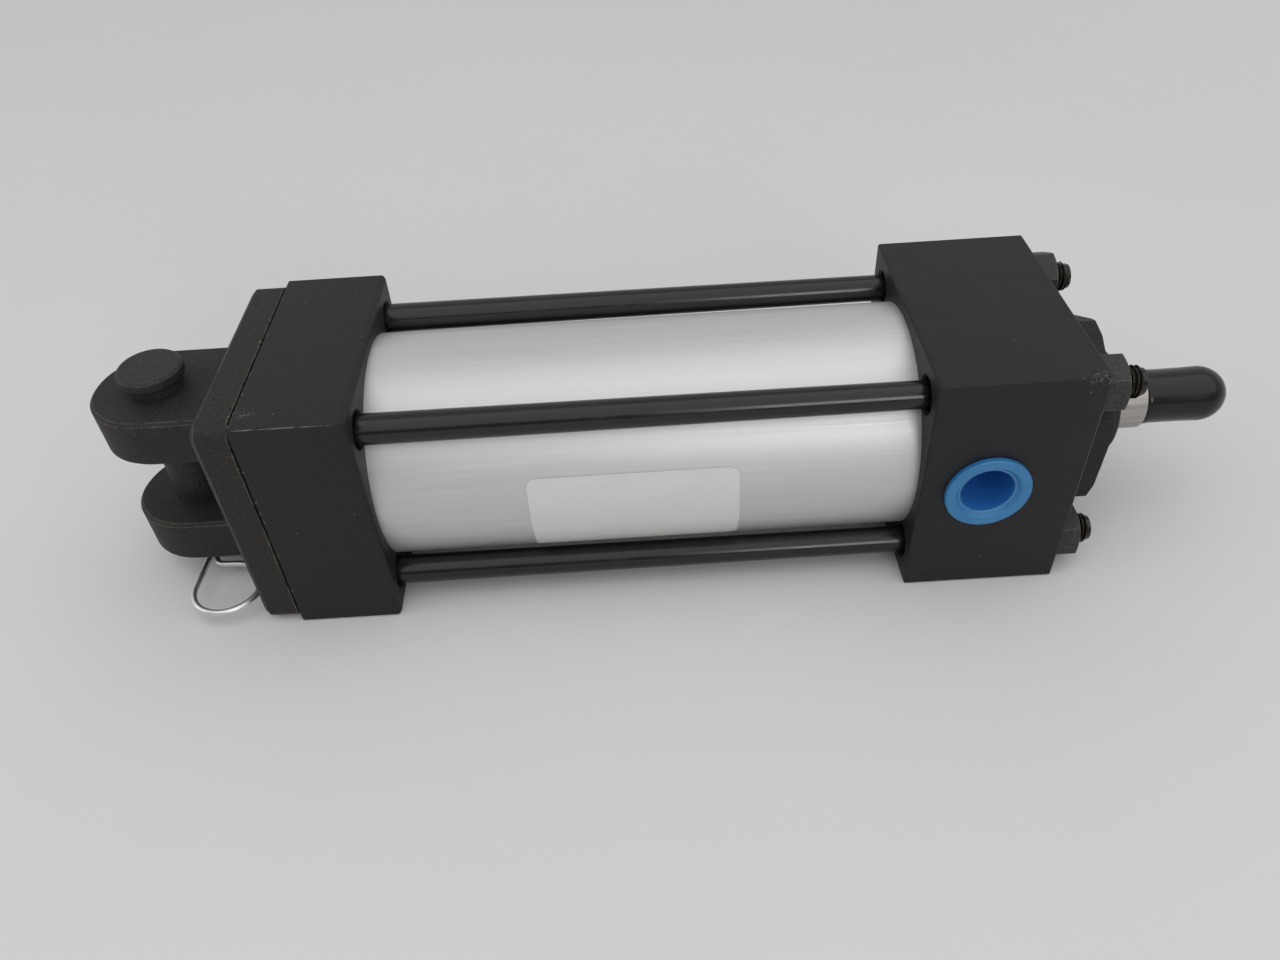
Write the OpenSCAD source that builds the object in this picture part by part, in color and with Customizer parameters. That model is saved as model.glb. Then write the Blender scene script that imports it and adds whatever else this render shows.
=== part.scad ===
// Double-acting tie-rod air cylinder with a rear clevis, its pin and clip.
// Origin: where the clevis pin's axis crosses the cylinder's axis.
// +X runs along the cylinder to the rod end, +Z along the clevis pin to its head.

/* [Barrel] */
// Bore of the barrel tube
bore = 50.8; // [44:0.1:60]
// How far the rod travels
stroke = 101.6; // [40:0.1:250]
// Wall of the barrel tube
tube_wall = 3.175; // [2:0.005:5]
// How deep the tube's ends sit in the head and the rear cap
tube_seat = 3.5; // [2.5:0.1:5]
// Thickness of the flat ring seal under each tube end
tube_seal_t = 1.0; // [0.6:0.1:1.6]
// Gap between the piston and an end block at each end of the stroke
end_gap = 1.5875; // [0.8:0.0005:4]

/* [Tie rods] */
// Plain diameter of a tie rod
tie_rod_d = 7.6; // [6:0.1:9]
// Thread diameter at a tie rod's ends
tie_thread_d = 7.9; // [7:0.1:9.4]
// Gap between a tie rod and the tube
tie_tube_gap = 0.675; // [0.4:0.005:2]
// From a tie rod's centre to the side of an end block
tie_edge = 8.38; // [7.5:0.01:10]
// How far a tie rod stands out of its nut
tie_proud = 3.9; // [1:0.1:8]
// Across the flats of a tie-rod nut
tie_nut_af = 12.7; // [11.5:0.1:14]
// Height of a tie-rod nut
tie_nut_h = 6.75; // [5:0.05:9]
// Diameter of the flat that a tie-rod nut's bevel leaves round its hole
tie_nut_face_d = 9.6; // [8.4:0.1:12.6]
// Length of the bevel on a tie-rod nut's corners
tie_nut_bevel = 1.3; // [0.4:0.1:2]
// How far a tie rod's rear thread runs on inside the rear cap
tie_rear_thread = 6; // [4:0.5:12]
// How far a tie rod's front thread runs back inside the head
tie_front_thread = 9; // [6:0.5:14]
// Chamfer at a tie rod's tips
tie_tip = 0.8; // [0.4:0.1:1.2]

/* [End blocks] */
// Length of the rod-end head
head_len = 38.1; // [34:0.1:50]
// Length of the rear cap
cap_len = 26.025; // [24:0.025:32]
// Floor of the rear cap behind its chamber
cap_floor = 5; // [4:0.1:9]
// Chamfer on the head's edges
head_chamfer = 0.5; // [0.2:0.1:1.5]
// Radius on the rear cap's edges beside the tube
cap_edge_r = 1.8; // [0.8:0.1:3]
// Diameter of the wall of a port
port_d = 14.9; // [12:0.1:16]
// From the head's inner face to the middle of its port
head_port_x = 15.875; // [13:0.005:18]

/* [Clevis] */
// From the flange's outer face to the pin's axis
clevis_reach = 19.05; // [17.5:0.05:30]
// Thickness of the clevis flange
flange_t = 8.9; // [8:0.1:14]
// How far the flange's sides lie inside the rear cap's
flange_inset = 0.3; // [0:0.1:2]
// Radius of the flange's corners
flange_corner_r = 4; // [2:0.1:6]
// Chamfer round the flange's outer face
flange_chamfer = 1.2; // [0.4:0.1:2]
// Relief round the rim of the flange's rear face, which shows as a dark seam
seam_gap = 0.35; // [0.1:0.05:0.8]
// How far the relief reaches in from the flange's rim
seam_depth = 3; // [1:0.1:5]
// Steel left behind the tapped holes in the flange
tap_floor = 1.5; // [1:0.1:3]
// Radius of a clevis ear's round end
ear_r = 15.875; // [13:0.005:16.5]
// Thickness of a clevis ear
ear_t = 12.7; // [9:0.1:13]
// Width of the jaw between the ears
jaw_w = 20.2; // [16:0.1:21]
// Chamfer on an ear's edges
ear_chamfer = 0.8; // [0.3:0.1:1.5]

/* [Clevis pin and clip] */
// Diameter of the clevis pin
pin_d = 12.7; // [10:0.1:14]
// Diameter of the pin's head
pin_head_d = 15.9; // [15:0.1:20]
// Height of the pin's head
pin_head_h = 2.6; // [2:0.1:6]
// Bevel round the pin's head
pin_head_bevel = 0.7; // [0.3:0.1:1]
// How far the pin stands up out of the clevis, its tip on the bench
pin_lift = 3.4; // [0.3:0.1:3.6]
// Chamfer at the pin's tip
pin_tip_bevel = 1; // [0.5:0.1:1.5]
// From the lower ear to the middle of the clip's wire
clip_drop = 4.5; // [3:0.1:5.6]
// From the middle of the clip's wire to the pin's tip
pin_tip = 4.4; // [2.2:0.1:4.4]
// Diameter of the clip's wire
wire_d = 1.6; // [1.2:0.1:2]
// Radius of the clip's small inner bend, to the middle of the wire
hook_r = 3; // [2.4:0.1:3.2]
// Length of the straight between the clip's loop and its inner bend
loop_entry = 3.8; // [2:0.1:4.2]
// Length of the clip's free end past the pin's middle
side_tip = 7; // [4:0.1:9]
// Gap between the pin and the wire that bows round it
side_gap = 0.45; // [0.1:0.05:0.8]
// Radius of the clip's round loop, to the middle of the wire
loop_r = 8.7; // [6.5:0.1:9]
// From the pin's axis to the middle of the clip's loop
loop_reach = 21.9; // [21.5:0.1:26]
// How much of a full turn the clip's loop makes, in degrees
loop_sweep = 270; // [250:1:280]
// Turn of the clip about the pin
clip_turn = -3; // [-20:1:0]
// Length of the clip's straight leg past the pin's axis
leg_past = 11; // [8.5:0.1:14]

/* [Piston] */
// Length of the piston
piston_len = 25.4; // [24:0.1:34]
// Length of a piston seal's groove
piston_seal_w = 4.8; // [4:0.1:5.4]
// Depth of a piston seal's groove
piston_seal_depth = 4.8; // [3.5:0.1:6]
// Length of the wear band's groove
band_w = 6.6; // [5:0.1:7]
// Thickness of the wear band
band_t = 2.4; // [1.6:0.1:3]
// From the piston's ends to its seal grooves
piston_land = 2.4; // [1.6:0.1:2.8]
// Section of the piston's O-ring
piston_ring_d = 1.6; // [1.2:0.1:2]
// Across the flats of the piston nut
piston_nut_af = 19.05; // [18:0.05:24]
// Height of the piston nut
piston_nut_h = 9.5; // [7:0.1:10.5]
// Diameter of the flat that the piston nut's bevel leaves round its hole
piston_nut_face_d = 18; // [14:0.1:18.8]
// Length of the bevel on the piston nut's corners
piston_nut_bevel = 1.5; // [0.5:0.1:2.5]
// How far the rod's spigot stands out of the piston nut
spigot_proud = 1.0; // [0.5:0.1:2]
// Room around the piston nut in the rear cap's chamber
nut_room = 3.0; // [1:0.1:5]

/* [Rod] */
// Diameter of the piston rod
rod_d = 15.875; // [14:0.005:18]
// Step from the rod down to the spigot that carries the piston
rod_step = 1.5875; // [1:0.0005:2.5]
// How far the rod's shoulder stands past the gland at rest
rod_out = 9.525; // [9:0.005:20]
// Across the rod's two spanner flats
rod_flats = 12.7; // [12:0.1:13.5]
// Diameter of the rod-end thread
rod_thread_d = 11.11; // [9:0.01:12.5]
// Length of the rod-end thread
rod_thread_len = 19.05; // [12:0.05:30]
// Chamfer at the thread's tip
thread_chamfer = 2; // [1.2:0.1:2.2]
// Depth of the undercut behind the rod-end thread
undercut_depth = 0.8; // [0.4:0.1:1.2]
// Length of the undercut behind the rod-end thread
undercut_len = 1.5; // [1:0.1:3]
// How far the rod's flats run past its shoulder
flats_past = 0.5; // [0:0.1:1]

/* [Rod gland] */
// Wall between the rod's bore and the outside of the pilot boss
boss_wall = 6.35; // [5.8:0.05:8]
// Length of the pilot boss
boss_len = 6.35; // [5:0.05:10]
// From the pilot boss out to the flats of the gland's hexagon
hex_ledge = 7.9375; // [7:0.0005:8.6]
// Thickness of the gland's hexagon
hex_t = 9.525; // [8:0.005:12]
// Turn of the hexagon where it came up tight
hex_turn = 33; // [0:1:59]
// Length of the bevel on the hexagon's corners
hex_bevel = 1; // [0.5:0.1:2]
// How far that bevel cuts in from the hexagon's corners
hex_bevel_in = 1.8; // [1:0.1:3]
// Bevel round the end of the pilot boss
boss_bevel = 0.8; // [0.4:0.1:1.5]
// Length of the gland's threaded body inside the head
gland_body_len = 11.9; // [10:0.1:13.5]
// Length of the rod bushing
bushing_len = 17; // [12:0.1:17.5]
// Wall of the rod bushing
bushing_t = 1.6; // [1:0.1:2.4]
// How far the gland's threaded body stands out past its pilot boss all round
gland_body_ledge = 3.1; // [2:0.1:4]
// Ledge in the head that the gland's body stops against
gland_stop = 3.4; // [2:0.1:5]
// Section of the gland's O-ring
gland_ring_d = 2.0; // [1.5:0.1:2.4]
// Depth of the rod seal's and the wiper's grooves
rod_seal_depth = 3.2; // [2.4:0.1:3.8]
// Length of the rod seal's groove
rod_seal_w = 4.8; // [4:0.1:5]
// Length of the wiper's groove
wiper_w = 3.5; // [2.8:0.1:4]
// Thickness of the wiper's lip
wiper_lip = 0.9; // [0.5:0.1:1.4]
// How far the wiper's lip stands out past its body
wiper_lip_len = 0.6; // [0.3:0.1:1]
// Wall of the wiper's body outside its lip
wiper_wall = 1.9; // [1.4:0.1:2.4]
// How far the wiper's heel stands off the rod
wiper_relief = 0.7; // [0.3:0.1:1]
// Wall between the wiper and the rod seal
seal_wall = 1.3; // [0.9:0.1:2]

/* [Covers] */
// Outside diameter of a port plug's rim
plug_rim_d = 20.5; // [18:0.1:24]
// Thickness of a port plug's rim
plug_rim_t = 1.5; // [1:0.1:2.5]
// Depth of a port plug inside its port
plug_depth = 13.2; // [6:0.1:13.5]
// Wall of a port plug
plug_wall = 0.95; // [0.5:0.05:1.2]
// Bevel round a port plug's rim
plug_bevel = 0.4; // [0.2:0.1:0.8]
// Diameter of a port plug's flared mouth
plug_mouth_d = 14.9; // [14:0.1:16.5]
// Depth of the flare at a port plug's mouth
plug_flare = 1.5; // [0.5:0.1:2]
// Wall of the soft cover on the rod-end thread
cover_wall = 1.5; // [1:0.1:2.2]
// From the thread's chamfer back to where the cover's dome starts
dome_back = 0.9; // [0.2:0.05:0.9]

/* [Hidden] */

$fn = 96;
wire_fn = 48;

// Clearances
run_gap = 0.05;        // between pieces that slide or turn on each other
thread_gap = 0.05;     // between a screwed piece and its thread
seat_gap = 0.3;        // between pieces that rest loosely together
land_gap = 0.2;        // between metal lands that the seals and bands keep apart
seal_gap = 0.1;        // between a seal and the sides of its groove
bolt_gap = 0.25;       // around a tie rod in its hole
cover_gap = 0.09;      // between the soft cover and the rod-end thread
cut = 1;               // how far a cutter runs past a face
nut_bevel_out = 0.1;   // how far a nut's bevel starts outside its corners

// Shares of a lip seal's section
lip_share = 0.3;       // thickness of a lip, of the seal's depth
relief_share = 0.08;   // how far the heel stands off, of the seal's depth
notch_share = 0.45;    // thickness of the heel, of the seal's length

// Along the cylinder
x_flange = clevis_reach;
x_cap = x_flange + flange_t;
x_cap_in = x_cap + cap_len;
gap_len = stroke + piston_len + 2 * end_gap;
x_head_in = x_cap_in + gap_len;
x_head = x_head_in + head_len;
x_boss = x_head + hex_t;
gland_ring_wall = 2;
piston_ring_wall = 2;
x_boss_end = x_boss + boss_len;
x_shoulder = x_boss_end + rod_out;
x_thread_end = x_shoulder + rod_thread_len;

// Across the cylinder
tube_od = bore + 2 * tube_wall;
tie_at = (tube_od / 2 + tie_tube_gap + tie_rod_d / 2) / sqrt(2);
block_w = 2 * (tie_at + tie_edge);
flange_w = block_w - 2 * flange_inset;
tie_hole_d = tie_thread_d + 2 * bolt_gap;
tie_sink = 0.65;
tap_depth = flange_t - tap_floor;
tap_room = 0.5;

// Gland, from the rod outwards
rod_hole_d = rod_d + 2 * land_gap;
boss_d = rod_d + 2 * boss_wall;
hex_af = boss_d + 2 * hex_ledge;
gland_body_d = boss_d + 2 * gland_body_ledge;
head_cavity_d = gland_body_d - 2 * gland_stop;
x_gland_in = x_head - gland_body_len;
bushing_d = rod_d + 2 * run_gap + 2 * bushing_t;
rod_groove_d = rod_d + 2 * rod_seal_depth;
x_wiper = x_boss_end - wiper_w;
x_rod_seal = x_wiper - seal_wall - rod_seal_w;
gland_ring_at = x_gland_in + gland_ring_wall;

// Piston, from the front face backwards
x_piston = x_cap_in + end_gap;
x_piston_end = x_piston + piston_len;
piston_d = bore - 2 * land_gap;
sweep_d = bore - 2 * run_gap;
piston_groove_d = piston_d - 2 * piston_seal_depth;
x_front_seal = x_piston_end - piston_land - piston_seal_w;
x_rear_seal = x_piston + piston_land;
x_band = x_piston + (piston_len - band_w) / 2;
spigot_d = rod_d - 2 * rod_step;
x_piston_nut = x_piston - piston_nut_h;
x_spigot_end = x_piston_nut - spigot_proud;
x_piston_ring = x_piston_end - piston_ring_wall - piston_ring_d;

// Rear cap's chamber, which clears the piston nut
nut_corner_d = piston_nut_af / cos(30);
cap_cavity_d = nut_corner_d + 2 * nut_room;
x_cap_port = x_cap + cap_len / 2;
x_head_port = x_head_in + head_port_x;

// Clevis, pin and clip
ear_top = jaw_w / 2 + ear_t;
z_clip = -ear_top - clip_drop;
z_pin_tip = z_clip - pin_tip;
clip_r = wire_d / 2;
side_r = pin_d / 2 + clip_r + side_gap;
wire_bead = 0.02;
hook_at = [loop_r - loop_entry, hook_r - loop_reach + loop_r];
hook_far = norm(hook_at);
// Heading of the straight stretch that touches both the hook and the side bow
side_heading = atan2(-hook_at[1], -hook_at[0]) - 90 + acos((hook_r + side_r) / hook_far);

// Thread cover
cover_bore_d = rod_thread_d + 2 * cover_gap;
cover_d = cover_bore_d + 2 * cover_wall;
x_cover = x_shoulder + seat_gap;
x_dome = x_thread_end - thread_chamfer - dome_back;

// Turn of each tie-rod nut where it came up tight
nut_turns = [20, 18, 34, 7];
// How far each tie rod's front tip stands past or short of the usual length
tie_uneven = [0.7, -0.5, 0, 0];
corners = [[-1, 1], [-1, -1], [1, 1], [1, -1]];

// Lays a profile drawn across the cylinder at x, so that it is extruded along +X
module at_x(x) {
    translate([x, 0, 0]) rotate([90, 0, 90]) children();
}

module rod_x(x, len, d) {
    at_x(x) cylinder(d = d, h = len);
}

module cone_x(x, len, d1, d2) {
    at_x(x) cylinder(d1 = d1, d2 = d2, h = len);
}

module ring_x(x, len, d_in, d_out) {
    at_x(x) difference() {
        cylinder(d = d_out, h = len);
        translate([0, 0, -cut]) cylinder(d = d_in, h = len + 2 * cut);
    }
}

module at_corners() {
    for (i = [0 : 3])
        translate([0, corners[i][0] * tie_at, corners[i][1] * tie_at]) {
            $corner = i;
            children();
        }
}

module cut_rect(len, w, c) {
    polygon([
        [c, -w / 2], [len - c, -w / 2], [len, -w / 2 + c], [len, w / 2 - c],
        [len - c, w / 2], [c, w / 2], [0, w / 2 - c], [0, -w / 2 + c]
    ]);
}

// Outline of the rear cap seen from its side, with round corners at the tube
module cap_rect(len, w, c, r) {
    polygon([
        [c, -w / 2], [len - r, -w / 2], [len - r, w / 2],
        [c, w / 2], [0, w / 2 - c], [0, -w / 2 + c]
    ]);
    translate([len - 2 * r, r - w / 2]) square([2 * r, w - 2 * r]);
    for (side = [-1, 1])
        translate([len - r, side * (w / 2 - r)]) circle(r);
}

module round_square(w, r) {
    square([w, w - 2 * r], center = true);
    square([w - 2 * r, w], center = true);
    for (a = [-1, 1], b = [-1, 1])
        translate([a * (w / 2 - r), b * (w / 2 - r)]) circle(r);
}

module tie_holes(x, len) {
    at_corners() {
        rod_x(x - cut, len + 2 * cut, tie_hole_d);
        children();
    }
}

// Seat for a tube end, cut as a ring groove that opens towards the other block
module tube_groove(x, len) {
    ring_x(x, len, bore - 2 * run_gap, tube_od + 2 * run_gap);
}

module port(x, side, chamber_d) {
    wall = block_w / 2 - chamber_d / 4;
    translate([x, side * (block_w / 2 + cut), 0])
        rotate([side * 90, 0, 0]) cylinder(d = port_d, h = wall + cut);
}

module rod_end_head() {
    color("#2b2c30") difference() {
        intersection() {
            translate([x_head_in, 0, -block_w / 2])
                linear_extrude(block_w) cut_rect(head_len, block_w, head_chamfer);
            translate([x_head_in, block_w / 2, 0]) rotate([90, 0, 0])
                linear_extrude(block_w) cut_rect(head_len, block_w, head_chamfer);
            at_x(x_head_in) linear_extrude(head_len)
                translate([-block_w / 2, 0]) cut_rect(block_w, block_w, head_chamfer);
        }
        tube_groove(x_head_in - cut, tube_seat + tube_seal_t + cut);
        rod_x(x_head_in - cut, head_len + 2 * cut, head_cavity_d);
        rod_x(x_gland_in - seat_gap, gland_body_len + seat_gap + cut, gland_body_d + 2 * thread_gap);
        tie_holes(x_head_in, head_len)
            cone_x(x_head_in - tie_sink, 2 * tie_sink, tie_hole_d + 4 * tie_sink, tie_hole_d);
        port(x_head_port, -1, head_cavity_d);
    }
}

module rear_cap() {
    color("#2b2c30") difference() {
        intersection() {
            translate([x_cap, 0, -block_w / 2])
                linear_extrude(block_w) cap_rect(cap_len, block_w, head_chamfer, cap_edge_r);
            translate([x_cap, block_w / 2, 0]) rotate([90, 0, 0])
                linear_extrude(block_w) cap_rect(cap_len, block_w, head_chamfer, cap_edge_r);
            at_x(x_cap) linear_extrude(cap_len)
                translate([-block_w / 2, 0]) cut_rect(block_w, block_w, head_chamfer);
        }
        tube_groove(x_cap_in - tube_seat - tube_seal_t, tube_seat + tube_seal_t + cut);
        rod_x(x_cap + cap_floor, cap_len, cap_cavity_d);
        tie_holes(x_cap, cap_len)
            cone_x(x_cap_in - tie_sink, 2 * tie_sink, tie_hole_d, tie_hole_d + 4 * tie_sink);
        port(x_cap_port, 1, cap_cavity_d);
    }
}

module barrel_tube() {
    color("#c9cbcc")
        ring_x(x_cap_in - tube_seat, gap_len + 2 * tube_seat, bore, tube_od);
}

module tube_seal(x) {
    ring_x(x, tube_seal_t, bore, tube_od);
}

module head_tube_seal() {
    color("#1b1b1b") tube_seal(x_head_in + tube_seat);
}

module cap_tube_seal() {
    color("#1b1b1b") tube_seal(x_cap_in - tube_seat - tube_seal_t);
}

module tie_rod(x_tip) {
    x0 = x_cap - tap_depth + tap_room;
    x_plain = x_cap + tie_rear_thread;
    x_front = x_head - tie_front_thread;
    x_bevel = x_tip - tie_tip;
    tip_d = tie_thread_d - 2 * tie_tip;
    cone_x(x0, tie_tip, tip_d, tie_thread_d);
    rod_x(x0 + tie_tip, x_plain - x0 - tie_tip, tie_thread_d);
    rod_x(x_plain, x_front - x_plain, tie_rod_d);
    rod_x(x_front, x_bevel - x_front, tie_thread_d);
    cone_x(x_bevel, tie_tip, tie_thread_d, tip_d);
}

module tie_rods() {
    color("#26221f") at_corners()
        tie_rod(x_head + tie_nut_h + tie_proud + tie_uneven[$corner]);
}

// Hexagonal nut whose outer end is bevelled down to a round face, facing +X
module hex_nut(x, af, h, face_d, bevel, hole_d, turn) {
    corner_d = af / cos(30);
    at_x(x) difference() {
        intersection() {
            rotate([0, 0, turn]) cylinder(d = corner_d, h = h, $fn = 6);
            union() {
                cylinder(d = corner_d + cut, h = h - bevel);
                translate([0, 0, h - bevel])
                    cylinder(r1 = corner_d / 2 + nut_bevel_out, r2 = face_d / 2, h = bevel);
            }
        }
        translate([0, 0, -cut]) cylinder(d = hole_d, h = h + 2 * cut);
    }
}

module tie_rod_nuts() {
    color("#2a2724") at_corners()
        hex_nut(x_head, tie_nut_af, tie_nut_h, tie_nut_face_d, tie_nut_bevel,
            tie_thread_d + 2 * thread_gap, nut_turns[$corner]);
}

// One ear: a round end on the pin's axis that runs back to the flange
module ear(z) {
    half = ear_t / 2;
    c = ear_chamfer;
    translate([0, 0, z]) {
        translate([0, 0, c - half]) cylinder(r = ear_r, h = ear_t - 2 * c);
        for (side = [0, 1])
            mirror([0, 0, side]) translate([0, 0, half - c])
                cylinder(r1 = ear_r, r2 = ear_r - c, h = c);
        at_x(0) linear_extrude(clevis_reach + c)
            translate([-ear_r, 0]) cut_rect(2 * ear_r, ear_t, c);
    }
}

module clevis_mount() {
    pad_w = flange_w - 2 * seam_depth;
    color("#332f2b") difference() {
        union() {
            at_x(x_flange) flange_plate();
            at_x(x_cap - seam_gap) linear_extrude(seam_gap)
                translate([-pad_w / 2, -pad_w / 2]) square(pad_w);
            for (side = [-1, 1])
                ear(side * (jaw_w + ear_t) / 2);
        }
        translate([0, 0, -ear_top - cut])
            cylinder(d = pin_d + 2 * run_gap, h = 2 * (ear_top + cut));
        at_corners() rod_x(x_cap - tap_depth, tap_depth + cut, tie_thread_d + 2 * thread_gap);
    }
}

// Round-cornered plate whose outer face is chamfered all the way round
module flange_plate() {
    c = flange_chamfer;
    r = flange_corner_r;
    rim_t = flange_t - seam_gap;
    half = flange_w / 2;
    straight = flange_w - 2 * r;
    translate([0, 0, c]) linear_extrude(rim_t - c) round_square(flange_w, r);
    for (turn = [0, 90])
        rotate([0, 0, turn]) translate([0, straight / 2, 0]) rotate([90, 0, 0])
            linear_extrude(straight)
                polygon([[c - half, 0], [half - c, 0], [half, c], [-half, c]]);
    for (a = [-1, 1], b = [-1, 1])
        translate([a * straight / 2, b * straight / 2, 0])
            cylinder(r1 = r - c, r2 = r, h = c);
}

module clevis_pin() {
    z_shank = z_pin_tip + pin_tip_bevel;
    z_head = ear_top + pin_lift;
    z_bevel = z_head + pin_head_h - pin_head_bevel;
    color("#332f2b") difference() {
        union() {
            translate([0, 0, z_pin_tip])
                cylinder(d1 = pin_d - 2 * pin_tip_bevel, d2 = pin_d, h = pin_tip_bevel);
            translate([0, 0, z_shank]) cylinder(d = pin_d, h = z_head - z_shank);
            translate([0, 0, z_head]) cylinder(d = pin_head_d, h = z_bevel - z_head);
            translate([0, 0, z_bevel])
                cylinder(d1 = pin_head_d, d2 = pin_head_d - 2 * pin_head_bevel, h = pin_head_bevel);
        }
        rotate([0, 0, clip_turn]) translate([0, pin_d, z_clip]) rotate([90, 0, 0])
            cylinder(d = wire_d + 2 * seat_gap, h = 2 * pin_d, $fn = wire_fn);
    }
}

// A stretch of wire bent round a centre, from one angle to another
module wire_bend(centre, r, from, to) {
    translate([centre[0], centre[1], 0]) rotate([0, 0, from])
        rotate_extrude(angle = to - from) translate([r, 0]) circle(clip_r, $fn = wire_fn);
}

// A joint between two stretches of wire, a hair thicker than the wire
module wire_joint(at) {
    translate([at[0], at[1], 0]) sphere(clip_r + wire_bead, $fn = wire_fn);
}

module wire_run(from, heading, len) {
    translate([from[0], from[1], 0]) rotate([0, 90, heading])
        cylinder(r = clip_r, h = len, $fn = wire_fn);
}

module pin_clip() {
    loop_at = [loop_r, -loop_reach];
    loop_end = loop_at + [0, loop_r];
    hook_start = [hook_at[0], loop_end[1]];
    across = [sin(side_heading), -cos(side_heading)];
    leave = hook_at - hook_r * across;
    arrive = side_r * across;
    color("#d5d7d8") rotate([0, 0, clip_turn]) translate([0, 0, z_clip]) {
        wire_run([0, -loop_reach], 90, loop_reach + leg_past);
        wire_bend(loop_at, loop_r, 180, 180 + loop_sweep);
        wire_run(loop_end, 180, loop_entry);
        wire_joint(hook_start);
        wire_bend(hook_at, hook_r, 90 + side_heading, 270);
        wire_joint(leave);
        wire_run(leave, side_heading, norm(arrive - leave));
        wire_joint(arrive);
        wire_bend([0, 0], side_r, side_heading - 90, 0);
        wire_joint([side_r, 0]);
        wire_run([side_r, 0], 90, side_tip);
    }
}

module piston() {
    color("#b9bbbd") difference() {
        rod_x(x_piston, piston_len, piston_d);
        rod_x(x_piston - cut, piston_len + 2 * cut, spigot_d + 2 * run_gap);
        ring_x(x_front_seal, piston_seal_w, piston_groove_d, bore);
        ring_x(x_rear_seal, piston_seal_w, piston_groove_d, bore);
        ring_x(x_band, band_w, sweep_d - 2 * band_t - 2 * run_gap, bore);
        rod_x(x_piston_ring, piston_ring_d + 2 * seal_gap,
            spigot_d + 2 * piston_ring_d + 4 * run_gap);
    }
}

// Lip seal: a solid heel and two lips that open towards the pressure
module lip_seal(x, len, d_in, d_out, opens_forward) {
    w = (d_out - d_in) / 2;
    lip = lip_share * w;
    relief = relief_share * w;
    notch = notch_share * len;
    r_in = d_in / 2;
    r_out = d_out / 2;
    at_x(opens_forward ? x : x + len) mirror([0, 0, opens_forward ? 0 : 1]) rotate_extrude()
        polygon([
            [r_in + relief, 0], [r_out - relief, 0], [r_out, len], [r_out - lip, len],
            [r_out - w / 2, notch], [r_in + lip, len], [r_in, len]
        ]);
}

module piston_seals() {
    len = piston_seal_w - 2 * seal_gap;
    color("#1b1b1b") {
        lip_seal(x_front_seal + seal_gap, len, piston_groove_d + 2 * run_gap, sweep_d, true);
        lip_seal(x_rear_seal + seal_gap, len, piston_groove_d + 2 * run_gap, sweep_d, false);
    }
}

module wear_band() {
    color("#7a4a2a")
        ring_x(x_band + seal_gap, band_w - 2 * seal_gap, sweep_d - 2 * band_t, sweep_d);
}

module piston_rod() {
    undercut_d = rod_thread_d - 2 * undercut_depth;
    thread_run = rod_thread_len - undercut_len - thread_chamfer;
    color("#c4c5c6") {
        rod_x(x_spigot_end, x_piston_end - x_spigot_end, spigot_d);
        difference() {
            rod_x(x_piston_end, x_shoulder - x_piston_end, rod_d);
            for (side = [0, 1])
                mirror([0, 0, side])
                    translate([x_boss_end + flats_past, -rod_d, rod_flats / 2])
                        cube([rod_out, 2 * rod_d, rod_d]);
        }
        rod_x(x_shoulder, undercut_len, undercut_d);
        rod_x(x_shoulder + undercut_len, thread_run, rod_thread_d);
        cone_x(x_thread_end - thread_chamfer, thread_chamfer, rod_thread_d,
            rod_thread_d - 2 * thread_chamfer);
    }
}

module piston_nut() {
    color("#6f6a62") mirror_at_x(x_piston)
        hex_nut(0, piston_nut_af, piston_nut_h, piston_nut_face_d, piston_nut_bevel,
            spigot_d + 2 * thread_gap, 0);
}

// Turns what faces +X to face -X, from the plane at x
module mirror_at_x(x) {
    translate([x, 0, 0]) mirror([1, 0, 0]) children();
}

module round_ring(x, d_mid, d_section) {
    at_x(x) rotate_extrude() translate([d_mid / 2, 0]) circle(d = d_section, $fn = wire_fn);
}

module piston_o_ring() {
    color("#1b1b1b")
        round_ring(x_piston_ring + piston_ring_d / 2 + seal_gap,
            spigot_d + piston_ring_d + 2 * run_gap, piston_ring_d);
}

module rod_gland() {
    hex_corner_d = hex_af / cos(30);
    color("#25272a") difference() {
        union() {
            rod_x(x_gland_in, gland_body_len, gland_body_d);
            intersection() {
                at_x(x_head) rotate([0, 0, hex_turn])
                    cylinder(d = hex_corner_d, h = hex_t, $fn = 6);
                union() {
                    rod_x(x_head, hex_t - hex_bevel, hex_corner_d + cut);
                    cone_x(x_boss - hex_bevel, hex_bevel, hex_corner_d,
                        hex_corner_d - 2 * hex_bevel_in);
                }
            }
            rod_x(x_boss, boss_len - boss_bevel, boss_d);
            cone_x(x_boss_end - boss_bevel, boss_bevel, boss_d, boss_d - 2 * boss_bevel);
        }
        rod_x(x_gland_in - cut, x_boss_end - x_gland_in + 2 * cut, rod_hole_d);
        rod_x(x_gland_in - cut, bushing_len + cut, bushing_d);
        rod_x(x_rod_seal, rod_seal_w, rod_groove_d);
        rod_x(x_wiper, wiper_w + cut, rod_groove_d);
        ring_x(gland_ring_at, gland_ring_d + 2 * seal_gap,
            gland_body_d - 2 * gland_ring_d - 2 * run_gap, gland_body_d + cut);
    }
}

module gland_o_ring() {
    color("#1b1b1b")
        round_ring(gland_ring_at + gland_ring_d / 2 + seal_gap, gland_body_d - gland_ring_d,
            gland_ring_d);
}

module rod_bushing() {
    color("#b08d3f")
        ring_x(x_gland_in, bushing_len, rod_d + 2 * run_gap, bushing_d);
}

module rod_seal() {
    color("#1b1b1b")
        lip_seal(x_rod_seal + seal_gap, rod_seal_w - 2 * seal_gap, rod_d + 2 * run_gap,
            rod_groove_d - 2 * run_gap, false);
}

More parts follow.
